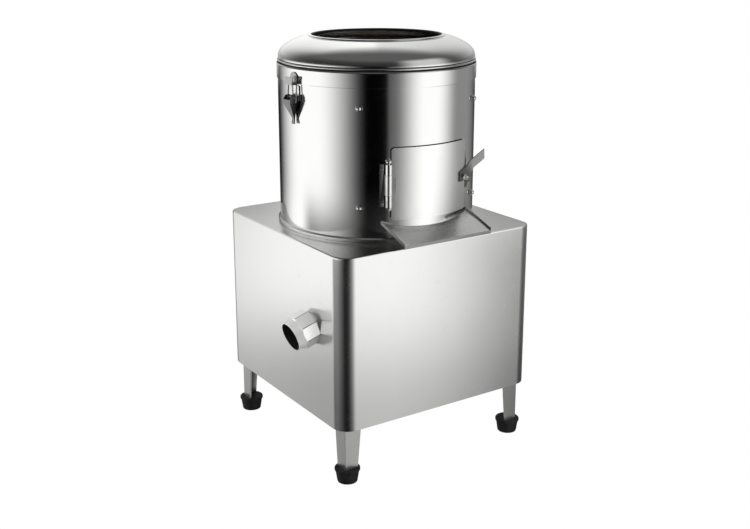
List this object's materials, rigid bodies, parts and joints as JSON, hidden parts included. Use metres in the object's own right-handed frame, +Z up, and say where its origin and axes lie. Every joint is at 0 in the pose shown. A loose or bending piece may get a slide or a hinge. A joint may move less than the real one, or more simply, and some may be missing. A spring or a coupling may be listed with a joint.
{
  "type": "potato peeler",
  "caption": "Electric potato peeler: a polished steel barrel with an abrasive disc and a lid, on a square cabinet with tapered legs, with a discharge door, chute and drain nozzle.",
  "frame": {"origin": "on the floor under the middle of the machine's bounding box", "axes": "+Z up, the discharge door and chute face -Y, the drain nozzle is on -X"},
  "size_m": [0.5918, 0.523, 0.868],
  "materials": {
    "black_plastic": "moulded",
    "black_rubber": "moulded",
    "cast_grey": "as cast",
    "green_plastic": "moulded",
    "grey_plastic": "moulded",
    "grit_disc": "abrasive coated casting",
    "grit_liner": "abrasive coating",
    "motor_paint": "satin paint",
    "plated_steel": "zinc plated",
    "polished_steel": "polished stainless",
    "red_plastic": "moulded",
    "satin_steel": "satin stainless sheet"
  },
  "bodies": {
    "root": {"abrasive_liner": "grit_liner", "barrel": "polished_steel", "barrel_foot_ring": "satin_steel", "bearing_housing": "cast_grey", "bearing_lower": "polished_steel", "bearing_upper": "polished_steel", "cabinet_shell": "satin_steel", "cable_gland": "black_plastic", "discharge_chute": "satin_steel", "drain_nozzle": "polished_steel", "drain_pipe": "satin_steel", "drive_belt": "black_rubber", "fan_cover": "motor_paint", "foot_front_left": "black_rubber", "foot_front_right": "black_rubber", "foot_rear_left": "black_rubber", "foot_rear_right": "black_rubber", "hinge_bracket": "polished_steel", "hinge_pin": "polished_steel", "latch_base_left": "satin_steel", "latch_base_right": "satin_steel", "leg_front_left": "satin_steel", "leg_front_right": "satin_steel", "leg_rear_left": "satin_steel", "leg_rear_right": "satin_steel", "lever_hook": "polished_steel", "lid_band": "polished_steel", "lid_dome": "satin_steel", "lid_gasket": "black_rubber", "lid_keeper_left": "polished_steel", "lid_keeper_right": "polished_steel", "motor_body": "motor_paint", "motor_bracket": "plated_steel", "service_panel": "satin_steel", "shaft_seal": "black_rubber", "sump_pan": "satin_steel", "switch_box": "grey_plastic", "terminal_box": "black_plastic", "water_inlet": "polished_steel"},
    "spindle_body": {"spindle": "polished_steel", "disc_carrier": "cast_grey", "abrasive_disc": "grit_disc", "disc_nut": "polished_steel", "driven_pulley": "cast_grey"},
    "rotor_body": {"motor_shaft": "polished_steel", "motor_pulley": "cast_grey", "motor_fan": "black_plastic"},
    "door_body": {"discharge_door": "polished_steel", "door_knuckle": "polished_steel", "lever_bolt": "polished_steel"},
    "door_lever_body": {"door_lever": "satin_steel"},
    "latch_left_body": {"latch_lever_left": "polished_steel"},
    "latch_right_body": {"latch_lever_right": "polished_steel"},
    "bail_left_body": {"latch_bail_left": "polished_steel"},
    "bail_right_body": {"latch_bail_right": "polished_steel"},
    "start_body": {"start_button": "green_plastic"},
    "stop_body": {"stop_button": "red_plastic"}
  },
  "joints": [
    {"name": "spindle_spin", "type": "hinge", "parent": "root", "child": "spindle_body", "pos_m": [0.00106, -0.00263, 0.4], "axis": [0, 0, 1], "continuous": true},
    {"name": "motor_spin", "type": "hinge", "parent": "root", "child": "rotor_body", "pos_m": [0.11773, 0.11405, 0.225], "axis": [0, 0, 1], "continuous": true},
    {"name": "door_swing", "type": "hinge", "parent": "root", "child": "door_body", "pos_m": [-0.09653, -0.19251, 0.5915], "axis": [0, 0, -1], "range_deg": [0, 115]},
    {"name": "door_lever_turn", "type": "hinge", "parent": "door_body", "child": "door_lever_body", "pos_m": [0.0828, -0.1952, 0.59], "axis": [0.3907, -0.9205, 0], "range_deg": [-14, 25]},
    {"name": "latch_left_turn", "type": "hinge", "parent": "root", "child": "latch_left_body", "pos_m": [-0.21462, -0.02149, 0.754], "axis": [-0.0872, 0.9962, 0], "range_deg": [0, 140]},
    {"name": "bail_left_turn", "type": "hinge", "parent": "latch_left_body", "child": "bail_left_body", "pos_m": [-0.21337, -0.02139, 0.74509], "axis": [-0.0872, 0.9962, 0], "range_deg": [-135, 0]},
    {"name": "latch_right_turn", "type": "hinge", "parent": "root", "child": "latch_right_body", "pos_m": [0.21673, 0.01624, 0.754], "axis": [0.0872, -0.9962, 0], "range_deg": [0, 140]},
    {"name": "bail_right_turn", "type": "hinge", "parent": "latch_right_body", "child": "bail_right_body", "pos_m": [0.21549, 0.01614, 0.74509], "axis": [0.0872, -0.9962, 0], "range_deg": [-135, 0]},
    {"name": "start_press", "type": "slide", "parent": "root", "child": "start_body", "axis": [-1, 0, 0], "range_m": [0, 0.003], "stiffness_N_per_m": 300},
    {"name": "stop_press", "type": "slide", "parent": "root", "child": "stop_body", "axis": [-1, 0, 0], "range_m": [0, 0.003], "stiffness_N_per_m": 300}
  ],
  "couplings": [
    {"joint": "motor_spin", "follows": "spindle_spin", "ratio": 3.5743},
    {"joint": "bail_left_turn", "follows": "latch_left_turn", "ratio": -0.93},
    {"joint": "bail_right_turn", "follows": "latch_right_turn", "ratio": -0.93}
  ]
}
